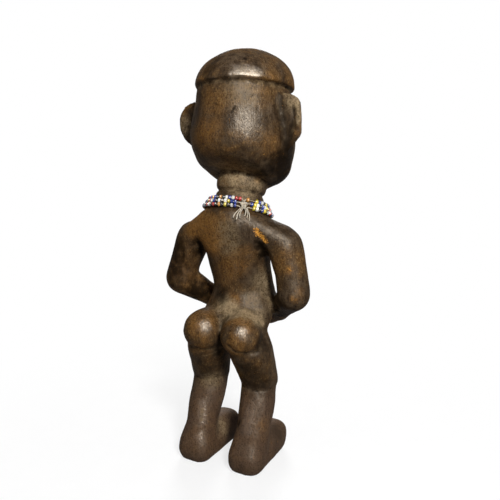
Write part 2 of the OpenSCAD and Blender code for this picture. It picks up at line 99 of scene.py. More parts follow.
# Forms of the face: place across and up, half width and half height, and rise
face_forms = [
    ((0.0120, 0.2405), (0.0085, 0.0060), -0.0016), ((0.0120, 0.2396), (0.0058, 0.0031), 0.0022),
    ((0.0, 0.2360), (0.0032, 0.0090), 0.0010),
    ((0.0056, 0.2230), (0.0026, 0.0024), 0.0016), ((0.0, 0.2190), (0.0060, 0.0017), -0.0009),
    ((0.0, 0.2151), (0.0075, 0.0017), 0.0014), ((0.0, 0.2108), (0.0066, 0.0020), 0.0016),
    ((0.0, 0.2070), (0.0065, 0.0018), -0.0009), ((0.0, 0.2020), (0.0070, 0.0036), 0.0007),
]
# Fine lines of the face and the fingers, given on one side and the same on the other
front_lines = [
    ([(0.0035, 0.0, 0.2462), (0.0080, 0.0, 0.2490), (0.0140, 0.0, 0.2495), (0.0200, 0.0, 0.2465)],
     0.0019, -0.0013),
    ([(0.0052, 0.0, 0.2390), (0.0085, 0.0, 0.2378), (0.0120, 0.0, 0.2374), (0.0155, 0.0, 0.2380),
      (0.0186, 0.0, 0.2394)], 0.0009, 0.0011),
    ([(0.0055, 0.0, 0.2412), (0.0090, 0.0, 0.2430), (0.0125, 0.0, 0.2434), (0.0165, 0.0, 0.2424),
      (0.0190, 0.0, 0.2404)], 0.0008, 0.0006),
    ([(0.0, 0.0, 0.2130), (0.0045, 0.0, 0.2131), (0.0082, 0.0, 0.2138)], 0.0009, 0.0015),
    ([(0.0022, 0.0, 0.2203), (0.0044, 0.0, 0.2208)], 0.0009, 0.0010),
    ([(0.0125, 0.0, 0.1066), (0.0025, 0.0, 0.1050)], 0.0008, 0.0011),
    ([(0.0125, 0.0, 0.1027), (0.0025, 0.0, 0.1011)], 0.0008, 0.0011),
    ([(0.0125, 0.0, 0.0988), (0.0025, 0.0, 0.0972)], 0.0008, 0.0011),
]
# The hairline, the groove below the ring of the neck, and the swell at the back of the head
hairline_depth, hairline_wide, hairline_below = 0.0008, 0.0009, 0.0014
hairline_rise, hairline_front = (0.246, 0.252), (0.012, 0.002)
ring_groove_up, ring_groove_wide = 0.0098, 0.0010
ring_groove_depth, ring_groove_reach = 0.0009, 0.0215
crown_height, crown_middle, crown_spread, crown_sink = 0.0015, 0.238, 0.014, 0.45
crown_front, crown_rise, crown_fall = (0.004, 0.020), (0.214, 0.222), (0.266, 0.258)
front_side = (-0.014, -0.021)
# Where the skin stays crisp, and the share of the way that each pass of sanding takes it there
seat_low, seat_high, seat_front, seat_share = 0.084, 0.100, 0.018, 0.25
face_front, face_low, face_below_rim, face_share = -0.016, 0.196, -0.003, 0.16
hands_front, hands_low, hands_high, hands_share = -0.018, 0.085, 0.122, 0.05
rim_band, rim_low, rim_share = 0.0024, 0.250, 0.07
worn_rim_side, worn_rim_share = (0.010, -0.006), 0.18
ear_side, ear_front, ear_depth = 0.0345, 0.0035, 0.013
ear_low, ear_high, ear_share = 0.216, 0.272, 0.14
ring_low, ring_high, ring_reach, ring_share = 0.003, 0.0245, 0.0212, 0.09
strands_low, strands_reach, strands_share = -0.008, 0.027, 0.15
knees_low, knees_high, knees_share = 0.0565, 0.0665, 0.22
even_share, plain_share = 0.5, 0.4
# Where the sanding goes on until the skin is broad and even
shoulders_rise, shoulders_fall = (0.136, 0.150), (0.187, 0.181)
nape_rise, nape_fall = (0.203, 0.210), (0.234, 0.222)
nape_front, nape_flat = (-0.014, -0.004), 0.7
hips_rise, hips_fall, hips_share = (0.098, 0.106), (0.130, 0.118), 0.5
crisp_share, crisp_keep = 0.1, 0.3
calm_share, calm_depth = 0.12, 0.3

carving_mesh = frame["nodes"]["carved_figure"].data.copy()
carving = bpy.data.objects.new("figure_carving", carving_mesh)
bpy.context.scene.collection.objects.link(carving)
block = bmesh.new()
block.from_mesh(carving_mesh)
bmesh.ops.remove_doubles(block, verts=block.verts, dist=weld_gap)
block.to_mesh(carving_mesh)
block.free()
even_skin = carving.modifiers.new("even_skin", "REMESH")
even_skin.mode = "VOXEL"
even_skin.voxel_size = skin_step
even_skin.use_smooth_shade = True


def made_mesh(source, name):
    """The mesh that an object's modifiers or curve settings give."""
    graph = bpy.context.evaluated_depsgraph_get()
    mesh = bpy.data.meshes.new_from_object(source.evaluated_get(graph))
    mesh.name = name
    return mesh


carving_mesh = made_mesh(carving, "figure_carving")
carving.modifiers.clear()
carving.data = carving_mesh
skin_count = len(carving_mesh.vertices)
skin = np.empty(skin_count * 3)
carving_mesh.vertices.foreach_get("co", skin)
skin = skin.reshape(-1, 3)
skin_edges = np.empty(len(carving_mesh.edges) * 2, np.int32)
carving_mesh.edges.foreach_get("vertices", skin_edges)
skin_edges = skin_edges.reshape(-1, 2)
skin_degree = np.bincount(skin_edges.ravel(), minlength=skin_count)


def relaxed(values, share, passes):
    """Draws each skin point's values towards those of its neighbours, as sanding does."""
    first, second = skin_edges[:, 0], skin_edges[:, 1]
    for _ in range(passes):
        middle = np.empty_like(values)
        for column in range(values.shape[1]):
            total = np.bincount(first, weights=values[second, column], minlength=skin_count)
            total += np.bincount(second, weights=values[first, column], minlength=skin_count)
            middle[:, column] = total / skin_degree
        values = values + share[:, None] * (middle - values)
    return values


def shaped(points):
    """Puts the skin points into the mesh and gives its outward directions."""
    carving_mesh.vertices.foreach_set("co", points.ravel())
    carving_mesh.update()
    normals = np.empty(skin_count * 3)
    carving_mesh.vertex_normals.foreach_get("vector", normals)
    return normals.reshape(-1, 3)


def eased(value, low, high):
    """Rises smoothly from zero at low to one at high."""
    t = np.clip((value - low) / (high - low), 0.0, 1.0)
    return t * t * (3.0 - 2.0 * t)


def line_gap(points, line):
    """Each point's distance from one place, or from a line through several."""
    nearest = np.linalg.norm(points - np.array(line[0]), axis=1)
    for start, end in zip(np.array(line), np.array(line)[1:]):
        run = end - start
        along = np.clip((points - start) @ run / (run @ run), 0.0, 1.0)
        nearest = np.minimum(nearest, np.linalg.norm(points - start - along[:, None] * run, axis=1))
    return nearest


turn_joint = frame["joints"][0]
neck_place = Vector(turn_joint["pos_m"])
neck_axis = Vector(turn_joint["axis"]).normalized()
across, front, height = skin.T
side_reach = np.abs(across - middle_plane)
up_neck = (skin - np.array(neck_place)) @ np.array(neck_axis)
neck_reach = np.linalg.norm(skin - np.array(neck_place) - up_neck[:, None] * np.array(neck_axis), axis=1)
above_rim = height - (rim_middle + rim_rise * (front - rim_centre) - rim_dip * (across - middle_plane))
rim_sanding = rim_share + worn_rim_share * eased(across, *worn_rim_side) * (front > 0.0)
kept_crisp = [
    ((height > seat_low) & (height < seat_high) & (front > seat_front), seat_share),
    ((front < face_front) & (height > face_low) & (above_rim < face_below_rim), face_share),
    ((front < hands_front) & (height > hands_low) & (height < hands_high), hands_share),
    ((np.abs(above_rim) < rim_band) & (height > rim_low), rim_sanding),
    ((side_reach > ear_side) & (np.abs(front - ear_front) < ear_depth) & (height > ear_low)
     & (height < ear_high), ear_share),
    ((up_neck > ring_low) & (up_neck < ring_high) & (neck_reach < ring_reach), ring_share),
    ((up_neck > strands_low) & (up_neck <= ring_low) & (neck_reach < strands_reach), strands_share),
    ((height > knees_low) & (height < knees_high), knees_share),
    (height < sole_height, 0.0),
]
share = np.full(skin_count, even_share)
for points, amount in kept_crisp:
    share = np.where(points, amount, share)
plain = share > plain_share
at_shoulders = eased(height, *shoulders_rise) * eased(height, *shoulders_fall)
at_nape = eased(height, *nape_rise) * eased(height, *nape_fall) * eased(front, *nape_front)
at_hips = hips_share * eased(height, *hips_rise) * eased(height, *hips_fall)
at_broad = np.maximum(np.maximum(at_shoulders, at_nape), at_hips) * plain
at_nape *= plain
sanded = relaxed(skin, share, soft_passes)
sanded = relaxed(sanded, even_share * at_broad, broad_passes)
sanded = relaxed(sanded, even_share * at_nape, broad_passes)
outward = shaped(sanded)
lost = np.einsum("ij,ij->i", skin - sanded, outward)[:, None]
lost = relaxed(lost, np.full(skin_count, even_share), swell_passes)[:, 0]
lost[share < crisp_share] *= crisp_keep
lost *= 1.0 - nape_flat * at_nape
skin = sanded + outward * lost[:, None]
outward = shaped(skin)
lift = np.zeros(skin_count)
calm = np.where(share < calm_share, calm_depth, 1.0)
for marks_per_metre, depth in tool_marks:
    lift += depth * calm * np.array([noise.noise(Vector(p) * marks_per_metre) for p in skin])
for line, wide, depth in cut_lines:
    lift -= depth * np.exp(-((line_gap(skin, line) / wide) ** 2))
at_front = eased(front, *front_side)
front_plan = np.stack([side_reach, np.zeros(skin_count), height], 1)
for place, half, rise in face_forms:
    gap = ((side_reach - place[0]) / half[0]) ** 2 + ((height - place[1]) / half[1]) ** 2
    lift += rise * at_front * np.exp(-gap)
for line, wide, depth in front_lines:
    lift -= depth * at_front * np.exp(-((line_gap(front_plan, line) / wide) ** 2))
hairline = np.exp(-(((above_rim + hairline_below) / hairline_wide) ** 2)) * eased(height, *hairline_rise)
lift -= hairline_depth * hairline * eased(front, *hairline_front)
ring_groove = np.exp(-(((up_neck - ring_groove_up) / ring_groove_wide) ** 2))
lift -= ring_groove_depth * ring_groove * (neck_reach < ring_groove_reach)
head_back = eased(front, *crown_front) * eased(height, *crown_rise) * eased(height, *crown_fall)
lift += crown_height * head_back * (np.exp(-(((height - crown_middle) / crown_spread) ** 2)) - crown_sink)
lift[height < sole_height] = 0.0
skin = skin + outward * lift[:, None]
skin = np.clip(skin, cad_box[0], cad_box[1])
shaped(skin)
broad = relaxed(skin, np.full(skin_count, even_share), relief_passes)
relief = np.einsum("ij,ij->i", skin - broad, shaped(skin)) / relief_height


def painted(name, values):
    """Keeps one value for each skin point under a name that a material can read."""
    layer = carving_mesh.attributes.new(name, "FLOAT", "POINT")
    layer.data.foreach_set("value", values)


painted("relief", np.clip(relief, -1.0, 1.0))


def put(tree, kind, inputs=None, **settings):
    """Adds one node, with its settings, and sets or links its inputs."""
    made = tree.nodes.new(kind)
    for name, value in settings.items():
        setattr(made, name, value)
    for name, value in (inputs or {}).items():
        if isinstance(value, bpy.types.NodeSocket):
            tree.links.new(value, made.inputs[name])
        else:
            made.inputs[name].default_value = value
    return made


def sums(tree, kind, first, second, clamp=False):
    """One step of arithmetic on two numbers or sockets."""
    return put(tree, "ShaderNodeMath", {0: first, 1: second}, operation=kind,
               use_clamp=clamp).outputs[0]


def ramp(tree, value, low, high, floor=0.0, top=1.0):
    """A smooth rise from floor to top as value goes from low to high."""
    names = {"Value": value, "From Min": low, "From Max": high, "To Min": floor, "To Max": top}
    return put(tree, "ShaderNodeMapRange", names, interpolation_type="SMOOTHSTEP").outputs[0]


def tint(tree, share_of_second, first, second, kind="MIX"):
    """One colour laid over another."""
    return put(tree, "ShaderNodeMix", {0: share_of_second, 6: first, 7: second},
               data_type="RGBA", blend_type=kind).outputs[2]


def clouds(tree, where, size, detail=4.0, roughness=0.55):
    """Soft noise with patches of about that size in metres."""
    names = {"Vector": where, "Scale": 1.0 / size, "Detail": detail, "Roughness": roughness}
    return put(tree, "ShaderNodeTexNoise", names).outputs["Fac"]


def new_material(name):
    """An empty procedural material: its tree, its shader and its Object coordinates."""
    material = bpy.data.materials.new(name)
    material.use_nodes = True
    tree = material.node_tree
    shader = tree.nodes["Principled BSDF"]
    where = put(tree, "ShaderNodeTexCoord").outputs["Object"]
    return material, tree, shader, where


def stretched(tree, where, squeeze):
    """The same coordinates drawn out along the upright grain."""
    return put(tree, "ShaderNodeMapping", {"Vector": where, "Scale": (1.0, 1.0, squeeze)}).outputs["Vector"]


# Colours of the wood, of its worn and chipped places, of dust, and the near black of painted shade and pores
deep_brown = (0.024, 0.0125, 0.0050, 1.0)
grey_brown = (0.080, 0.052, 0.029, 1.0)
warm_brown = (0.098, 0.049, 0.0155, 1.0)
leg_brown = (0.114, 0.069, 0.044, 1.0)
gold_fleck = (0.250, 0.155, 0.062, 1.0)
bare_wood = (0.240, 0.110, 0.026, 1.0)
chip_colour = (0.720, 0.330, 0.050, 1.0)
chip_shade = (0.300, 0.120, 0.018, 1.0)
house_dust = (0.310, 0.225, 0.128, 1.0)
shade_and_pore_colour = (0.0065, 0.0036, 0.0016, 1.0)
# Places on the skin: the points of a line, its reach and its strength
worn_places = [
    ([(0.0430, 0.0170, 0.1560), (0.0465, 0.0130, 0.1330), (0.0260, 0.0060, 0.1170)], 0.013, 0.40),
    ([(0.0239, 0.0241, 0.1737), (0.0139, 0.0268, 0.1679)], 0.016, 1.2),
    ([(0.0020, 0.0225, 0.1400), (-0.0060, 0.0225, 0.1480)], 0.012, 0.50),
    ([(0.0081, 0.0346, 0.2367)], 0.013, 0.65), ([(0.0029, 0.0339, 0.2561)], 0.010, 0.35),
    ([(0.0037, 0.0355, 0.2394)], 0.011, 0.55), ([(-0.0324, 0.0164, 0.2303)], 0.009, 0.45),
    ([(0.0160, 0.0260, 0.1669)], 0.011, 0.60), ([(0.0148, 0.0430, 0.1069)], 0.011, 0.65),
    ([(-0.0191, 0.0445, 0.1018)], 0.006, 0.60), ([(0.0326, 0.0095, 0.1251)], 0.005, 0.60),
    ([(-0.0507, 0.0190, 0.1286)], 0.004, 0.80), ([(-0.0467, 0.0189, 0.1476)], 0.004, 0.80),
    ([(-0.0539, 0.0163, 0.1326)], 0.006, 0.50), ([(-0.0381, 0.0194, 0.1495)], 0.007, 0.45),
    ([(-0.0066, 0.0210, 0.1229)], 0.006, 0.80), ([(0.0296, 0.0215, 0.1722)], 0.012, 0.40),
    ([(-0.0074, 0.0174, 0.2143)], 0.011, 0.40), ([(-0.0158, 0.0053, 0.2050)], 0.003, 0.90),
    ([(-0.0316, 0.0284, 0.0361)], 0.007, 0.35),
    ([(-0.0177, 0.0241, 0.1603), (-0.0041, 0.0264, 0.1531)], 0.005, 0.35),
]
chipped_places = [
    ([(-0.0248, 0.0249, 0.1741), (-0.0254, 0.0246, 0.1722), (-0.0264, 0.0242, 0.1709)], 0.00145),
    ([(-0.0285, 0.0236, 0.1697), (-0.0298, 0.0231, 0.1678), (-0.0310, 0.0226, 0.1660)], 0.00145),
]
scratches = [
    ((-0.0018, 0.0358, 0.2413), (-0.0014, 0.0361, 0.2350)),
    ((-0.0100, 0.0339, 0.2473), (-0.0104, 0.0343, 0.2430)),
    ((-0.0461, 0.0190, 0.1489), (-0.0480, 0.0184, 0.1469)),
]
scratch_wide, scratch_share = 0.0006, 0.35
chip_fade = 2.0
ragged_middle, ragged_swing = 0.5, 0.3
patches_per_metre, patch_octaves = 43.0, 4
mottles_per_metre, mottle_octaves = 220.0, 3
patch_ragged, patch_fade = 1.6, 2.1
shank_top, shank_full = 0.066, 0.048
dusty_places = [
    ([(-0.0130, 0.0200, 0.2150), (0.0060, 0.0200, 0.2145)], 0.008, 0.45),
    ([(-0.0063, 0.0301, 0.1714), (-0.0063, 0.0290, 0.1610)], 0.009, 0.48),
    ([(-0.0001, 0.0240, 0.1177), (-0.0109, 0.0293, 0.1140), (-0.0237, 0.0238, 0.1121)], 0.009, 1.7),
    ([(-0.0363, 0.0066, 0.2640), (-0.0473, 0.0054, 0.2594)], 0.0016, 0.80),
    ([(-0.0180, 0.0172, 0.1212), (-0.0158, 0.0159, 0.1264)], 0.009, 0.38),
    ([(0.0042, 0.0150, 0.2049), (-0.0102, 0.0126, 0.2033), (-0.0165, 0.0051, 0.2015)], 0.007, 0.85),
    ([(-0.0456, 0.0063, 0.2574), (-0.0466, 0.0052, 0.2516), (-0.0461, 0.0046, 0.2451)], 0.0018, 1.5),
    ([(-0.0057, 0.0143, 0.2060)], 0.013, 1.15), ([(-0.0093, 0.0138, 0.1978)], 0.012, 0.80),
    ([(-0.0224, 0.0070, 0.1331)], 0.012, 0.95), ([(-0.0275, 0.0042, 0.1191)], 0.009, 0.55),
    ([(-0.0182, 0.0282, 0.1147)], 0.012, 0.80), ([(0.0100, 0.0225, 0.0600)], 0.008, 0.65),
    ([(0.0092, 0.0134, 0.0179)], 0.011, 0.65), ([(-0.0418, 0.0066, 0.2575)], 0.006, 0.95),
    ([(0.0421, 0.0058, 0.2431)], 0.010, 0.75), ([(-0.0175, 0.0263, 0.2660)], 0.013, 0.35),
    ([(0.0, -0.020, 0.190)], 0.013, 0.40),
    ([(-0.0209, 0.0289, 0.1139), (-0.0245, 0.0238, 0.1115), (-0.0260, 0.0174, 0.1063)], 0.0020, 2.2),
    ([(-0.0168, 0.0252, 0.2185), (-0.0200, 0.0210, 0.2163)], 0.0008, 0.80),
    ([(0.0118, 0.0353, 0.0822), (0.0041, 0.0301, 0.0847)], 0.0008, 0.60),
    ([(0.0156, 0.0315, 0.0387), (0.0154, 0.0334, 0.0317)], 0.0016, 0.50),
]
# Painted shade where shade falls: the armpits, the seam of ear and head, the shaded side of head and jaw, the
# arms, the cleft and between the legs; a few entries are real dark marks and pits. It darkens the colour and
# thins the oil film.
shade_and_mark_places = [
    ([(-0.0215, -0.0350, 0.2460)], 0.0045, 0.90),
    ([(-0.0400, 0.0050, 0.2400)], 0.006, 0.60),
    ([(-0.0257, 0.0204, 0.1614), (-0.0270, 0.0167, 0.1570), (-0.0252, 0.0141, 0.1550)], 0.0060, 1.0),
    ([(0.0240, 0.0199, 0.1593), (0.0232, 0.0172, 0.1562), (0.0258, 0.0143, 0.1540)], 0.0060, 1.0),
    ([(-0.0337, 0.0073, 0.2627), (-0.0346, 0.0075, 0.2562), (-0.0356, 0.0063, 0.2465),
      (-0.0366, 0.0049, 0.2366), (-0.0368, 0.0037, 0.2313)], 0.0030, 0.75),
    ([(-0.0360, 0.0010, 0.2290), (-0.0345, -0.0040, 0.2150), (-0.0266, -0.0078, 0.2051)], 0.011, 1.0),
    ([(-0.0230, 0.0100, 0.2117), (-0.0276, 0.0092, 0.2119)], 0.006, 0.35),
    ([(0.0430, 0.0170, 0.1560), (0.0465, 0.0130, 0.1330)], 0.012, 0.92),
    ([(0.0440, 0.0090, 0.1260), (0.0260, 0.0060, 0.1170)], 0.010, 0.95),
    ([(-0.0230, 0.0310, 0.0800), (-0.0270, 0.0250, 0.0680)], 0.010, 0.65),
    ([(-0.0300, 0.0260, 0.0980)], 0.009, 0.75),
    ([(-0.0440, 0.0060, 0.1210), (-0.0330, -0.0020, 0.1130)], 0.011, 0.95),
    ([(0.0056, 0.0196, 0.1247)], 0.008, 0.85), ([(0.0111, 0.0337, 0.0802)], 0.012, 0.15),
    ([(-0.0340, 0.0040, 0.2180)], 0.018, 1.0), ([(0.0400, 0.0194, 0.1446)], 0.012, 0.35),
    ([(-0.0303, 0.0015, 0.0201)], 0.010, 0.45), ([(0.0, -0.030, 0.080)], 0.018, 0.50),
    ([(-0.0150, 0.0214, 0.2853)], 0.0018, 0.90),
    ([(-0.0425, 0.0060, 0.2440), (-0.0400, 0.0050, 0.2360)], 0.0035, 0.85),
    ([(0.0, 0.0300, 0.0985), (0.0005, 0.0290, 0.0900)], 0.005, 0.85),
    ([(0.0112, 0.0282, 0.0708)], 0.007, 0.50), ([(0.0041, 0.0301, 0.0847)], 0.005, 0.60),
    ([(0.0091, 0.0293, 0.2781), (0.0054, 0.0237, 0.2853)], 0.006, 0.70),
    ([(-0.0115, 0.0331, 0.2515), (-0.0131, 0.0320, 0.2553)], 0.0015, 0.95),
    ([(0.0022, 0.0338, 0.2574), (-0.0011, 0.0342, 0.2567)], 0.0012, 0.80),
    ([(-0.0149, 0.0306, 0.0364), (-0.0134, 0.0300, 0.0320)], 0.0014, 0.95),
]
polished_places = [
    ([(-0.0130, 0.0290, 0.2776), (-0.0235, 0.0240, 0.2764)], 0.006, 1.0),
    ([(-0.0180, 0.0296, 0.2500), (-0.0200, 0.0290, 0.2410)], 0.007, 0.25),
    ([(0.0075, 0.0414, 0.1068)], 0.006, 0.42), ([(-0.0225, 0.0416, 0.1064)], 0.006, 0.50),
    ([(0.0160, 0.0316, 0.0440), (0.0155, 0.0330, 0.0300)], 0.005, 0.60),
    ([(-0.0225, 0.0306, 0.0500), (-0.0215, 0.0320, 0.0300)], 0.005, 0.60),
    ([(0.0151, 0.0371, 0.0208)], 0.004, 0.60),
]

# Sizes of the grain, strengths of the oil film, and depth of the fibres
fibre_size, streak_size, fleck_size = 0.0012, 0.0060, 0.0010
speck_size, mottle_size, blotch_size = 0.0011, 0.0045, 0.023
oil_clean, oil_dusty, oil_in_shadow_and_pores, oil_polished = 0.0130, 0.0025, 0.2, 6.5
oil_ior, oil_roughness, wood_gloss = 4.0, 0.38, 0.01
grain_strength, grain_depth = 0.6, 0.0005
shade_and_pore_share, leg_share = 0.97, 0.6

wood, wood_tree, wood_shader, wood_where = new_material("oiled_wood")
fibre_where = stretched(wood_tree, wood_where, squeeze=0.2)
streak_where = stretched(wood_tree, wood_where, squeeze=0.3)
fleck_where = stretched(wood_tree, wood_where, squeeze=0.6)
fibre = clouds(wood_tree, fibre_where, fibre_size, detail=4.0, roughness=0.6)
streak = clouds(wood_tree, streak_where, streak_size, detail=5.0, roughness=0.65)
fleck = clouds(wood_tree, fleck_where, fleck_size, detail=3.0, roughness=0.65)
speck = clouds(wood_tree, wood_where, speck_size, detail=3.0, roughness=0.65)
mottle = clouds(wood_tree, wood_where, mottle_size, detail=6.0, roughness=0.7)
blotch = clouds(wood_tree, wood_where, blotch_size, detail=5.0, roughness=0.6)
relief_socket = put(wood_tree, "ShaderNodeAttribute", attribute_name="relief").outputs["Fac"]
ridge = ramp(wood_tree, relief_socket, 0.08, 0.7)
hollow = ramp(wood_tree, relief_socket, -0.08, -0.7)


def line_distance(tree, where, start, end):
    """How far a spot lies from a straight line between two places."""
    run = Vector(end) - Vector(start)
    from_start = put(tree, "ShaderNodeVectorMath", {0: where, 1: start}, operation="SUBTRACT").outputs[0]
    along = put(tree, "ShaderNodeVectorMath", {0: from_start, 1: run / run.length_squared},
                operation="DOT_PRODUCT").outputs["Value"]
    on_line = put(tree, "ShaderNodeVectorMath", {0: run, "Scale": sums(tree, "ADD", along, 0.0, True)},
                  operation="SCALE").outputs[0]
    return put(tree, "ShaderNodeVectorMath", {0: from_start, 1: on_line},
               operation="DISTANCE").outputs["Value"]


def patches(places, ragged):
    """How far each skin point lies within the listed places: a line, its reach in metres, its strength."""
    total = np.zeros(skin_count)
    for line, reach, strength in places:
        gap = line_gap(skin, line) + patch_ragged * reach * ragged
        total = np.maximum(total, strength * eased(gap, patch_fade * reach, reach))
    return total


def cloudy(marks_per_metre, octaves):
    """Ragged noise round one half at every skin point."""
    marks = [noise.fractal(Vector(p) * marks_per_metre, 1.0, 2.0, octaves) for p in skin]
    return ragged_middle + ragged_swing * np.array(marks)


patchy = cloudy(patches_per_metre, patch_octaves)
mottled = cloudy(mottles_per_metre, mottle_octaves)
painted("worn", patches(worn_places, patchy))
painted("dust", patches(dusty_places, patchy))
# The places of painted shade, with the few real dark marks, stored under the name dark
painted("dark", patches(shade_and_mark_places, mottled))
painted("polish", patches(polished_places, mottled))
chip_field = np.zeros(skin_count)
for line, reach in chipped_places:
    chip_field = np.maximum(chip_field, 1.0 - line_gap(skin, line) / (chip_fade * reach))
painted("chips", chip_field)
painted("shank", eased(height, shank_top, shank_full))
worn_layer, dust_layer, shade_and_mark_layer, polish_layer, chip_layer, shank_layer = [
    put(wood_tree, "ShaderNodeAttribute", attribute_name=name).outputs["Fac"]
    for name in ("worn", "dust", "dark", "polish", "chips", "shank")]
scratch = 0.0
for start, end in scratches:
    gap = line_distance(wood_tree, wood_where, start, end)
    mark = ramp(wood_tree, gap, scratch_wide, 0.3 * scratch_wide, 0.0, scratch_share)
    scratch = sums(wood_tree, "MAXIMUM", scratch, mark)

base = tint(wood_tree, ramp(wood_tree, streak, 0.32, 0.64), deep_brown, grey_brown)
base = tint(wood_tree, ramp(wood_tree, blotch, 0.42, 0.66, 0.0, 0.85), base, warm_brown)
dim = ramp(wood_tree, mottle, 0.54, 0.34, 0.0, 0.6)
base = tint(wood_tree, dim, base, deep_brown)
base = tint(wood_tree, sums(wood_tree, "MULTIPLY", shank_layer, leg_share), base, leg_brown)
livelier = ramp(wood_tree, shank_layer, 0.0, 1.0, 1.0, 0.2)
wear_noise = sums(wood_tree, "MULTIPLY", ramp(wood_tree, blotch, 0.48, 0.70), ridge)
wear_noise = sums(wood_tree, "MULTIPLY", wear_noise, livelier)
worn = sums(wood_tree, "MAXIMUM", worn_layer, sums(wood_tree, "MULTIPLY", wear_noise, 0.6))
worn = sums(wood_tree, "MULTIPLY", worn, ramp(wood_tree, fleck, 0.35, 0.57, 0.25, 1.0), True)
base = tint(wood_tree, worn, base, bare_wood)
dust = sums(wood_tree, "MULTIPLY", hollow, ramp(wood_tree, blotch, 0.42, 0.62, 0.1, 0.55))
dust = sums(wood_tree, "MAXIMUM", dust, dust_layer)
dust = sums(wood_tree, "MULTIPLY", dust, ramp(wood_tree, mottle, 0.40, 0.60, 0.45, 1.05))
dust = sums(wood_tree, "MULTIPLY", dust, ramp(wood_tree, speck, 0.36, 0.56, 0.5, 1.0), True)
base = tint(wood_tree, dust, base, house_dust)
glint = sums(wood_tree, "MULTIPLY", ramp(wood_tree, fleck, 0.52, 0.70),
             ramp(wood_tree, blotch, 0.42, 0.60, 0.05, 0.65))
glint = sums(wood_tree, "MULTIPLY", glint, livelier)
base = tint(wood_tree, glint, base, gold_fleck)
# Painted shade in the hollows and at the places of painted shade, with the dark pores, all laid towards one
# near black
shade_and_pores = sums(wood_tree, "MULTIPLY", hollow, ramp(wood_tree, mottle, 0.62, 0.4, 0.2, 0.7))
shade_and_pores = sums(wood_tree, "MAXIMUM", shade_and_pores, shade_and_mark_layer)
pores = sums(wood_tree, "MULTIPLY", ramp(wood_tree, speck, 0.48, 0.30, 0.0, 0.75),
             ramp(wood_tree, dust, 0.1, 0.7, 1.0, 0.25))
shade_and_pores = sums(wood_tree, "MAXIMUM", shade_and_pores, pores)
base = tint(wood_tree, sums(wood_tree, "MULTIPLY", shade_and_pores, shade_and_pore_share, True), base, shade_and_pore_colour)
chip_edge = sums(wood_tree, "ADD", chip_layer, sums(wood_tree, "MULTIPLY", speck, 2.0))
chip = ramp(wood_tree, chip_edge, 1.36, 1.56, 0.0, 0.95)
chip_wood = tint(wood_tree, ramp(wood_tree, fleck, 0.40, 0.58), chip_shade, chip_colour)
base = tint(wood_tree, sums(wood_tree, "MAXIMUM", chip, scratch), base, chip_wood)
shade = ramp(wood_tree, fibre, 0.32, 0.68, 0.84, 1.14)
shade_colour = put(wood_tree, "ShaderNodeCombineColor", {0: shade, 1: shade, 2: shade}).outputs[0]
base = tint(wood_tree, 1.0, base, shade_colour, "MULTIPLY")
wood_tree.links.new(base, wood_shader.inputs["Base Color"])
wood_tree.links.new(ramp(wood_tree, mottle, 0.35, 0.66, 0.55, 0.75), wood_shader.inputs["Roughness"])
wood_shader.inputs["Specular IOR Level"].default_value = wood_gloss
oil_film = sums(wood_tree, "MULTIPLY", ramp(wood_tree, dust, 0.03, 0.38, oil_clean, oil_dusty),
                ramp(wood_tree, mottle, 0.36, 0.60, 0.7, 1.2))
# Less oil film where the painted shade and the pores lie
oil_film = sums(wood_tree, "MULTIPLY", oil_film, ramp(wood_tree, shade_and_pores, 0.3, 0.9, 1.0, oil_in_shadow_and_pores))
oil_film = sums(wood_tree, "MULTIPLY", oil_film, ramp(wood_tree, polish_layer, 0.0, 1.0, 1.0, oil_polished))
wood_tree.links.new(oil_film, wood_shader.inputs["Coat Weight"])
wood_shader.inputs["Coat IOR"].default_value = oil_ior
wood_shader.inputs["Coat Roughness"].default_value = oil_roughness
grain_height = sums(wood_tree, "ADD", fibre, fleck)
grain_height = sums(wood_tree, "MULTIPLY", grain_height, 0.6)
grain_height = sums(wood_tree, "ADD", grain_height, sums(wood_tree, "MULTIPLY", mottle, 1.2))
grain_height = sums(wood_tree, "ADD", grain_height, sums(wood_tree, "MULTIPLY", speck, 0.7))
grain_bump = put(wood_tree, "ShaderNodeBump",
                 {"Strength": grain_strength, "Distance": grain_depth, "Height": grain_height})
wood_tree.links.new(grain_bump.outputs["Normal"], wood_shader.inputs["Normal"])
wood_tree.links.new(grain_bump.outputs["Normal"], wood_shader.inputs["Coat Normal"])
carving_mesh.materials.clear()
carving_mesh.materials.append(wood)
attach(carving, "figure")
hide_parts("carved_figure")

# The beads: small seed beads of opaque pressed glass in six colours, cut from drawn tube and
# tumbled, so that no two are quite alike. Each one is threaded on its strand and hangs loose.
strand_names = ["upper", "middle", "lower"]
glass_colours = {
    "white": (0.80, 0.79, 0.74, 1.0),
    "blue": (0.016, 0.045, 0.30, 1.0),
    "yellow": (0.80, 0.62, 0.045, 1.0),
    "red": (0.52, 0.028, 0.022, 1.0),
    "black": (0.007, 0.006, 0.007, 1.0),
    "amber": (0.60, 0.27, 0.055, 1.0),
}
bead_profile = [(-0.78, 0.56), (-1.03, 0.98), (-0.70, 1.45), (0.0, 1.60),
                (0.70, 1.45), (1.03, 0.98), (0.78, 0.56)]
bead_sides, bead_seam = 10, 1e-6
bead_tilt = 0.14
girth_range, length_range, tone_range = (0.92, 1.0), (0.86, 1.0), (0.78, 1.12)
bead_dust = (0.16, 0.115, 0.07, 1.0)
bead_gloss, bead_gloss_roughness = 0.35, 0.08
swirl_size, film_size = 0.0011, 0.0024
bead_draw = random.Random(7)
millimetre = 0.001

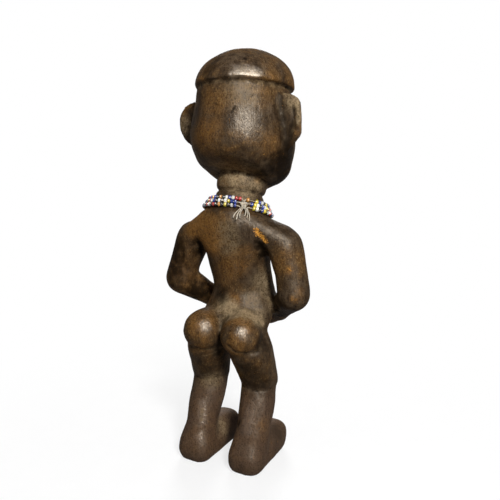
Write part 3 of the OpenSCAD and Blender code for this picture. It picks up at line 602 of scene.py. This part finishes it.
bead_form = bmesh.new()
bead_points = [bead_form.verts.new((x * millimetre, r * millimetre, 0.0)) for x, r in bead_profile]
bead_outline = [bead_form.edges.new(pair) for pair in zip(bead_points, bead_points[1:])]
bead_outline.append(bead_form.edges.new((bead_points[-1], bead_points[0])))
bmesh.ops.spin(bead_form, geom=bead_points + bead_outline, cent=(0, 0, 0), axis=(1, 0, 0),
               angle=2 * math.pi, steps=bead_sides, use_merge=True)
bmesh.ops.remove_doubles(bead_form, verts=bead_form.verts, dist=bead_seam)
bmesh.ops.recalc_face_normals(bead_form, faces=bead_form.faces)
bead_mesh = bpy.data.meshes.new("bead_form")
bead_form.to_mesh(bead_mesh)
bead_form.free()


def island_middles(node):
    """The middle of each separate bead in a CAD node."""
    shell = bmesh.new()
    shell.from_mesh(frame["nodes"][node].data)
    bmesh.ops.remove_doubles(shell, verts=shell.verts, dist=weld_gap)
    waiting = set(shell.verts)
    middles = []
    while waiting:
        found = [waiting.pop()]
        members = []
        while found:
            point = found.pop()
            members.append(point.co.copy())
            for edge in point.link_edges:
                other = edge.other_vert(point)
                if other in waiting:
                    waiting.remove(other)
                    found.append(other)
        low = Vector(min(p[axis] for p in members) for axis in range(3))
        high = Vector(max(p[axis] for p in members) for axis in range(3))
        middles.append((low + high) / 2)
    shell.free()
    return sorted(middles, key=lambda p: tuple(round(c, 5) for c in p))


def glass(colour_name):
    """Opaque bead glass, a little streaked and dusty, bright where it was polished."""
    material, tree, shader, where = new_material(colour_name + "_bead_glass")
    colour = glass_colours[colour_name]
    tone = put(tree, "ShaderNodeAttribute", attribute_name="bead_tone").outputs["Fac"]
    swirl = clouds(tree, where, swirl_size, detail=3.0)
    light = sums(tree, "MULTIPLY", tone, ramp(tree, swirl, 0.3, 0.7, 0.8, 1.12))
    light_colour = put(tree, "ShaderNodeCombineColor", {0: light, 1: light, 2: light}).outputs[0]
    body = tint(tree, 1.0, colour, light_colour, "MULTIPLY")
    film = ramp(tree, clouds(tree, where, film_size, detail=4.0), 0.5, 0.75, 0.0, 0.22)
    body = tint(tree, film, body, bead_dust)
    tree.links.new(body, shader.inputs["Base Color"])
    tree.links.new(ramp(tree, swirl, 0.3, 0.75, 0.10, 0.30), shader.inputs["Roughness"])
    shader.inputs["Coat Weight"].default_value = bead_gloss
    shader.inputs["Coat Roughness"].default_value = bead_gloss_roughness
    return material


glass_materials = {colour_name: glass(colour_name) for colour_name in glass_colours}
bead_pieces = {strand: [] for strand in strand_names}
for strand in strand_names:
    for colour_name in glass_colours:
        node = f"{strand}_strand_{colour_name}_beads"
        string = bmesh.new()
        tone_layer = string.verts.layers.float.new("bead_tone")
        for middle in island_middles(node):
            outward_way = middle - neck_place
            outward_way -= neck_axis * outward_way.dot(neck_axis)
            outward_way.normalize()
            along = neck_axis.cross(outward_way)
            place = Matrix((along, outward_way, neck_axis)).transposed().to_4x4()
            place.translation = middle
            lean = Matrix.Rotation(bead_draw.uniform(-bead_tilt, bead_tilt), 4, "Z")
            spin_turn = Matrix.Rotation(bead_draw.uniform(0, math.pi), 4, "X")
            girth = bead_draw.uniform(*girth_range)
            length = bead_draw.uniform(*length_range)
            form = Matrix.Diagonal((length, girth, girth, 1.0))
            known = len(string.verts)
            string.from_mesh(bead_mesh)
            string.verts.ensure_lookup_table()
            fresh = string.verts[known:]
            bmesh.ops.transform(string, matrix=place @ lean @ spin_turn @ form, verts=fresh)
            tone = bead_draw.uniform(*tone_range)
            for vert in fresh:
                vert[tone_layer] = tone
        for face in string.faces:
            face.smooth = True
        mesh = bpy.data.meshes.new(f"{strand}_{colour_name}_beads")
        string.to_mesh(mesh)
        string.free()
        mesh.materials.append(glass_materials[colour_name])
        beads = bpy.data.objects.new(mesh.name, mesh)
        bpy.context.scene.collection.objects.link(beads)
        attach(beads, "necklace")
        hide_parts(node)
        bead_pieces[strand].append(beads)
bpy.data.meshes.remove(bead_mesh)

# The threads: three lengths of two-ply undyed cotton, one through each strand of beads. Both
# ends of each thread meet at the nape, go through the knot and hang out of it, cut plain.
thread_d = 0.0006
strand_r = [0.0209, 0.0226, 0.0243]
strand_a = [0.002829, 0.0, -0.002829]
knot_turn = 36.0
knot_r = 0.0248
knot_a = -0.0016
pass_gap = [0.0005, 0.0014, 0.0023]
tail_end = [[-0.0018, 0.0008], [-0.0042, 0.0028], [-0.0066, 0.0048]]
tail_length = [[0.007, 0.0055], [0.0085, 0.0065], [0.0075, 0.008]]
tail_top = -0.004229
tail_bow = 0.0011
tail_r = 0.0264
tail_out = 0.22
tail_points, tail_curl = 13, 1.4
ring_gap = 0.0012
ring_steps = 56
bend, bend_start = 0.0008, 0.3
start_out, turned_out = 0.0001, 0.0003
inner_steps = [[0.3, 0.65], [0.5], []]
thread_step, thread_ease = 0.0003, 6
ply_pitch = 0.0019
ply_sides, ply_seam = 8, 1e-7
ply_waist, ply_swell = 0.82, 0.18
cotton_shade = (0.36, 0.29, 0.19, 1.0)
cotton_light = (0.78, 0.72, 0.60, 1.0)
cotton_stain = (0.22, 0.15, 0.085, 1.0)
lint_size, stain_size, lint_depth = 0.00035, 0.0045, 0.0001
cotton_sheen, cotton_sheen_roughness, cotton_gloss = 0.25, 0.5, 0.2
neck_side = Vector((-1.0, 0.0, 0.0))
neck_back = neck_axis.cross(neck_side).normalized()
if neck_back.y < 0:
    neck_back = -neck_back


def on_ring(turn, radius, up):
    """A point round the neck: turn in degrees from straight behind, radius and height."""
    angle = math.radians(turn)
    flat = neck_side * math.sin(angle) + neck_back * math.cos(angle)
    return neck_place + flat * radius + neck_axis * up


def beside_knot(along, radius, up):
    """A point that far along the ring from the knot."""
    return on_ring(knot_turn + math.degrees(along / radius), radius, up)


def loose_end(row, end):
    """One hanging end, from the knot outwards."""
    side = 2 * end - 1
    start = side * pass_gap[row]
    points = []
    for t in np.linspace(0.0, 1.0, tail_points):
        along = start + (tail_end[row][end] - start) * t ** tail_curl
        along += math.copysign(tail_bow, tail_end[row][end]) * math.sin(math.pi * t)
        reach = tail_length[row][end] * t
        points.append(beside_knot(along, tail_r + tail_out * reach, tail_top - reach))
    return points


def into_knot(row, end):
    """The way from the ring down through the knot."""
    side = 2 * end - 1
    along = side * pass_gap[row]
    radius, up = strand_r[row], strand_a[row]
    points = [
        beside_knot(along + side * bend, radius, up),
        beside_knot(along + side * bend_start * bend, radius + start_out, up - bend_start * bend),
        beside_knot(along, radius + turned_out, up - bend),
    ]
    inner_r, inner_up = radius + turned_out, up - bend
    for t in inner_steps[row]:
        points.append(beside_knot(along, inner_r + (tail_r - inner_r) * t,
                                  inner_up + (tail_top - inner_up) * t))
    return points


def thread_route(row):
    """The whole thread, from one cut end to the other."""
    gap = math.degrees((pass_gap[row] + ring_gap) / strand_r[row])
    first, last = knot_turn + gap, knot_turn + 360.0 - gap
    ring = []
    for step in range(ring_steps + 1):
        ring.append(on_ring(first + (last - first) * step / ring_steps, strand_r[row], strand_a[row]))
    ends = [into_knot(row, end) + loose_end(row, end) for end in (0, 1)]
    return ends[1][::-1] + ring + ends[0]


def even_route(points, step):
    """The same route with points a steady step apart, its corners eased."""
    line = np.array([tuple(p) for p in points])
    gaps = np.linalg.norm(np.diff(line, axis=0), axis=1)
    place = np.concatenate([[0.0], np.cumsum(gaps)])
    wanted = np.linspace(0.0, place[-1], int(place[-1] / step) + 1)
    even = np.stack([np.interp(wanted, place, line[:, axis]) for axis in range(3)], 1)
    for _ in range(thread_ease):
        even[1:-1] = 0.25 * even[:-2] + 0.5 * even[1:-1] + 0.25 * even[2:]
    return [Vector(p) for p in even]


def twisted_tube(name, route, diameter, pitch):
    """A two-ply thread swept along a route, as a mesh, and its length."""
    outline = bpy.data.curves.new(name + "_outline", "CURVE")
    outline.dimensions = "2D"
    lobes = outline.splines.new("POLY")
    lobes.use_cyclic_u = True
    lobes.points.add(ply_sides - 1)
    for number, point in enumerate(lobes.points):
        angle = 2 * math.pi * number / ply_sides
        radius = diameter / 2 * (ply_waist + ply_swell * math.cos(angle) ** 2)
        point.co = (radius * math.cos(angle), radius * math.sin(angle), 0.0, 1.0)
    outline_object = bpy.data.objects.new(name + "_outline", outline)
    bpy.context.scene.collection.objects.link(outline_object)
    line = bpy.data.curves.new(name, "CURVE")
    line.dimensions = "3D"
    line.twist_mode = "MINIMUM"
    line.bevel_mode = "OBJECT"
    line.bevel_object = outline_object
    line.use_fill_caps = True
    spline = line.splines.new("POLY")
    spline.points.add(len(route) - 1)
    run = 0.0
    for number, point in enumerate(spline.points):
        if number:
            run += (route[number] - route[number - 1]).length
        point.co = (*route[number], 1.0)
        point.tilt = 2 * math.pi * run / pitch
    swept = bpy.data.objects.new(name + "_line", line)
    bpy.context.scene.collection.objects.link(swept)
    mesh = made_mesh(swept, name)
    bpy.data.objects.remove(swept)
    bpy.data.objects.remove(outline_object)
    tube = bmesh.new()
    tube.from_mesh(mesh)
    bmesh.ops.remove_doubles(tube, verts=tube.verts, dist=ply_seam)
    bmesh.ops.recalc_face_normals(tube, faces=tube.faces)
    for face in tube.faces:
        face.smooth = len(face.verts) == 4
    tube.to_mesh(mesh)
    tube.free()
    return mesh, run


cotton, cotton_tree, cotton_shader, cotton_where = new_material("undyed_cotton")
lint = clouds(cotton_tree, cotton_where, lint_size, detail=4.0, roughness=0.7)
stain = clouds(cotton_tree, cotton_where, stain_size, detail=3.0)
cotton_colour = tint(cotton_tree, ramp(cotton_tree, lint, 0.3, 0.7), cotton_shade, cotton_light)
cotton_colour = tint(cotton_tree, ramp(cotton_tree, stain, 0.48, 0.7, 0.0, 0.55), cotton_colour, cotton_stain)
cotton_tree.links.new(cotton_colour, cotton_shader.inputs["Base Color"])
cotton_tree.links.new(ramp(cotton_tree, lint, 0.2, 0.8, 0.75, 0.95), cotton_shader.inputs["Roughness"])
cotton_shader.inputs["Sheen Weight"].default_value = cotton_sheen
cotton_shader.inputs["Sheen Roughness"].default_value = cotton_sheen_roughness
cotton_shader.inputs["Specular IOR Level"].default_value = cotton_gloss
cotton_bump = put(cotton_tree, "ShaderNodeBump",
                  {"Strength": 0.5, "Distance": lint_depth, "Height": lint})
cotton_tree.links.new(cotton_bump.outputs["Normal"], cotton_shader.inputs["Normal"])

knot_middle = beside_knot(0.0, knot_r, knot_a)
for row, strand in enumerate(strand_names):
    route = even_route(thread_route(row), thread_step)
    mesh, length = twisted_tube(strand + "_cotton_thread", route, thread_d, ply_pitch)
    mesh.materials.append(cotton)
    thread = bpy.data.objects.new(mesh.name, mesh)
    bpy.context.scene.collection.objects.link(thread)
    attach(thread, "necklace")
    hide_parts(strand + "_thread")
    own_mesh(thread)

# The knot: the six thread ends tied together at the nape in one overhand knot and drawn tight.
# It is the same cotton, greyed by handling, and it rides with the strands.
knot_half = [0.0027, 0.0017, 0.0024]
knot_strands = 3
knot_thread_d = 0.00105
knot_steps = 72
knot_pitch = 0.004
knot_twist = 0.34
knot_spread, knot_thick = 0.82, 0.62
knot_along = neck_axis.cross((knot_middle - neck_place).normalized())
knot_out = knot_along.cross(neck_axis).normalized()
knot_form = bmesh.new()
for strand_number in range(knot_strands):
    offset = (strand_number - 1) * knot_twist
    turns = []
    for step in range(knot_steps + 1):
        t = 2 * math.pi * step / knot_steps
        flat_x = (math.sin(t) + 2 * math.sin(2 * t + offset)) / 3
        flat_y = (math.cos(t) - 2 * math.cos(2 * t + offset)) / 3
        deep = -math.sin(3 * t + offset)
        turns.append(knot_middle + knot_along * (knot_half[0] * knot_spread * flat_x)
                     + neck_axis * (knot_half[2] * knot_spread * flat_y)
                     + knot_out * (knot_half[1] * knot_thick * deep))
    mesh = twisted_tube(f"knot_turn_{strand_number}", turns, knot_thread_d, knot_pitch)[0]
    knot_form.from_mesh(mesh)
    bpy.data.meshes.remove(mesh)
for face in knot_form.faces:
    face.smooth = True
knot_mesh = bpy.data.meshes.new("nape_cotton_knot")
knot_form.to_mesh(knot_mesh)
knot_form.free()
knot_mesh.materials.append(cotton)
knot = bpy.data.objects.new("nape_cotton_knot", knot_mesh)
bpy.context.scene.collection.objects.link(knot)
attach(knot, "necklace")
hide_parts("nape_knot")

# The stage: a pale floor that fades into a white surround, a soft lamp above the camera with a
# stronger twin that shows only as gloss, a weak lamp overhead, one on the far side, and the
# camera behind the figure, a little to its right.
floor_reach = 3.0
floor_grey = (0.22, 0.215, 0.21, 1.0)
fade_start, fade_end, fade_least = 0.04, 0.30, 0.74
paper_fibre = 0.02
surround_light = 0.05
lamp_place, lamp_aim, lamp_wide = (-0.48, 0.50, 0.59), (0.0, 0.0, 0.16), 0.15
gloss_colour = (1.0, 0.86, 0.68)
body_aim = (0.0, 0.0, 0.15)
camera_place = (-0.2153, 0.4075, 0.245)
camera_lens, camera_sensor = 46.44, 36.0
camera_turn, camera_dip = math.radians(27.0), math.radians(11.2)
floor_form = bmesh.new()
bmesh.ops.create_grid(floor_form, x_segments=1, y_segments=1, size=floor_reach)
floor_mesh = bpy.data.meshes.new("pale_floor")
floor_form.to_mesh(floor_mesh)
floor_form.free()
floor = bpy.data.objects.new("pale_floor", floor_mesh)
bpy.context.scene.collection.objects.link(floor)
paper = bpy.data.materials.new("pale_paper")
paper.use_nodes = True
paper_tree = paper.node_tree
paper_tree.nodes.clear()


def seen_directly(tree):
    """One for rays from the camera, in reflections and through glass, else zero."""
    light_path = put(tree, "ShaderNodeLightPath")
    seen = sums(tree, "MAXIMUM", light_path.outputs["Is Camera Ray"],
                light_path.outputs["Is Glossy Ray"])
    return sums(tree, "MAXIMUM", seen, light_path.outputs["Is Transmission Ray"])


paper_where = put(paper_tree, "ShaderNodeTexCoord").outputs["Object"]
paper_gap = put(paper_tree, "ShaderNodeVectorMath", {0: paper_where}, operation="LENGTH")
paper_grain = ramp(paper_tree, clouds(paper_tree, paper_where, paper_fibre, 3.0), 0.3, 0.7, 0.93, 0.96)
paper_far = ramp(paper_tree, paper_gap.outputs["Value"], fade_start, fade_end, fade_least, 1.0)
paper_white = put(paper_tree, "ShaderNodeEmission", {"Color": (1, 1, 1, 1), "Strength": 1.0})
paper_lit_colour = tint(paper_tree, seen_directly(paper_tree), floor_grey,
                        put(paper_tree, "ShaderNodeCombineColor",
                            {0: paper_grain, 1: paper_grain, 2: paper_grain}).outputs[0])
paper_lit = put(paper_tree, "ShaderNodeBsdfDiffuse", {"Color": paper_lit_colour})
paper_share = sums(paper_tree, "MULTIPLY", paper_far, seen_directly(paper_tree))
paper_mix = put(paper_tree, "ShaderNodeMixShader",
                {0: paper_share, 1: paper_lit.outputs[0], 2: paper_white.outputs[0]})
put(paper_tree, "ShaderNodeOutputMaterial", {"Surface": paper_mix.outputs[0]})
floor_mesh.materials.append(paper)

world = bpy.data.worlds.new("white_surround")
world.use_nodes = True
world_tree = world.node_tree
surround = world_tree.nodes["Background"]
surround.inputs["Color"].default_value = (1.0, 1.0, 1.0, 1.0)
world_tree.links.new(ramp(world_tree, seen_directly(world_tree), 0.0, 1.0, surround_light, 1.0),
                     surround.inputs["Strength"])
bpy.context.scene.world = world


def soft_lamp(name, place, aim, wide, watts, colour=(1.0, 1.0, 1.0)):
    """One square soft lamp that faces a point."""
    lamp = bpy.data.lights.new(name, "AREA")
    lamp.shape = "SQUARE"
    lamp.size = wide
    lamp.energy = watts
    lamp.color = colour
    stand = bpy.data.objects.new(name, lamp)
    stand.matrix_world = (Matrix.Translation(place)
                          @ (Vector(aim) - Vector(place)).to_track_quat("-Z", "Y").to_matrix().to_4x4())
    bpy.context.scene.collection.objects.link(stand)
    return stand


soft_lamp("lamp_by_camera", lamp_place, lamp_aim, lamp_wide, watts=7.0)
gloss_lamp = soft_lamp("lamp_for_gloss", lamp_place, lamp_aim, lamp_wide, watts=56.0, colour=gloss_colour)
gloss_lamp.visible_diffuse = False
soft_lamp("lamp_overhead", (-0.02, 0.10, 0.95), body_aim, wide=0.5, watts=1.2)
soft_lamp("lamp_opposite", (0.37, -0.73, 0.40), body_aim, wide=0.30, watts=7.0)

view_way = Vector((math.sin(camera_turn) * math.cos(camera_dip),
                   -math.cos(camera_turn) * math.cos(camera_dip),
                   -math.sin(camera_dip)))
lens = bpy.data.cameras.new("photo_camera")
lens.sensor_width = camera_sensor
lens.lens = camera_lens
camera = bpy.data.objects.new("photo_camera", lens)
camera.matrix_world = (Matrix.Translation(camera_place)
                       @ view_way.to_track_quat("-Z", "Y").to_matrix().to_4x4())
bpy.context.scene.collection.objects.link(camera)
bpy.context.scene.camera = camera
bpy.context.scene.view_settings.view_transform = "Standard"
